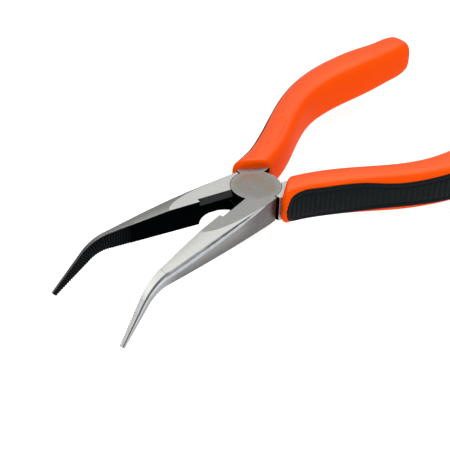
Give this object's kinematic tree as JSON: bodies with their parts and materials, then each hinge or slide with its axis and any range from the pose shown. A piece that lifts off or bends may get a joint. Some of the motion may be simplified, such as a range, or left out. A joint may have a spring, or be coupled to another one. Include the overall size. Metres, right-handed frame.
{
  "type": "bent long-nose pliers",
  "caption": "Bent long-nose pliers with a lap joint, side cutter, serrated jaws and two-component handle grips.",
  "frame": {"origin": "on the pivot axis, at the flat underside of the joint", "axes": "+X along the nose halfway between the open jaws, +Z along the pivot rivet away from the side the nose bends to, +Y towards the jaw of lever_a"},
  "size_m": [0.1929, 0.089, 0.0253],
  "materials": {
    "steel": "ground steel, dark phosphated in the unground places",
    "rivet_steel": "ground flush with the joint",
    "grip": "satin orange moulded plastic",
    "inlay": "matte black ribbed soft plastic"
  },
  "bodies": {
    "half_a": {"lever_a": "steel", "pivot_rivet": "rivet_steel", "grip_a": "grip", "inlay_a": "inlay"},
    "half_b": {"lever_b": "steel", "grip_b": "grip", "inlay_b": "inlay"}
  },
  "joints": [
    {"name": "pivot", "type": "hinge", "parent": "half_a", "child": "half_b", "pos_m": [0, 0, 0.00485], "axis": [0, 0, 1], "range_deg": [-3.5, 26]}
  ]
}
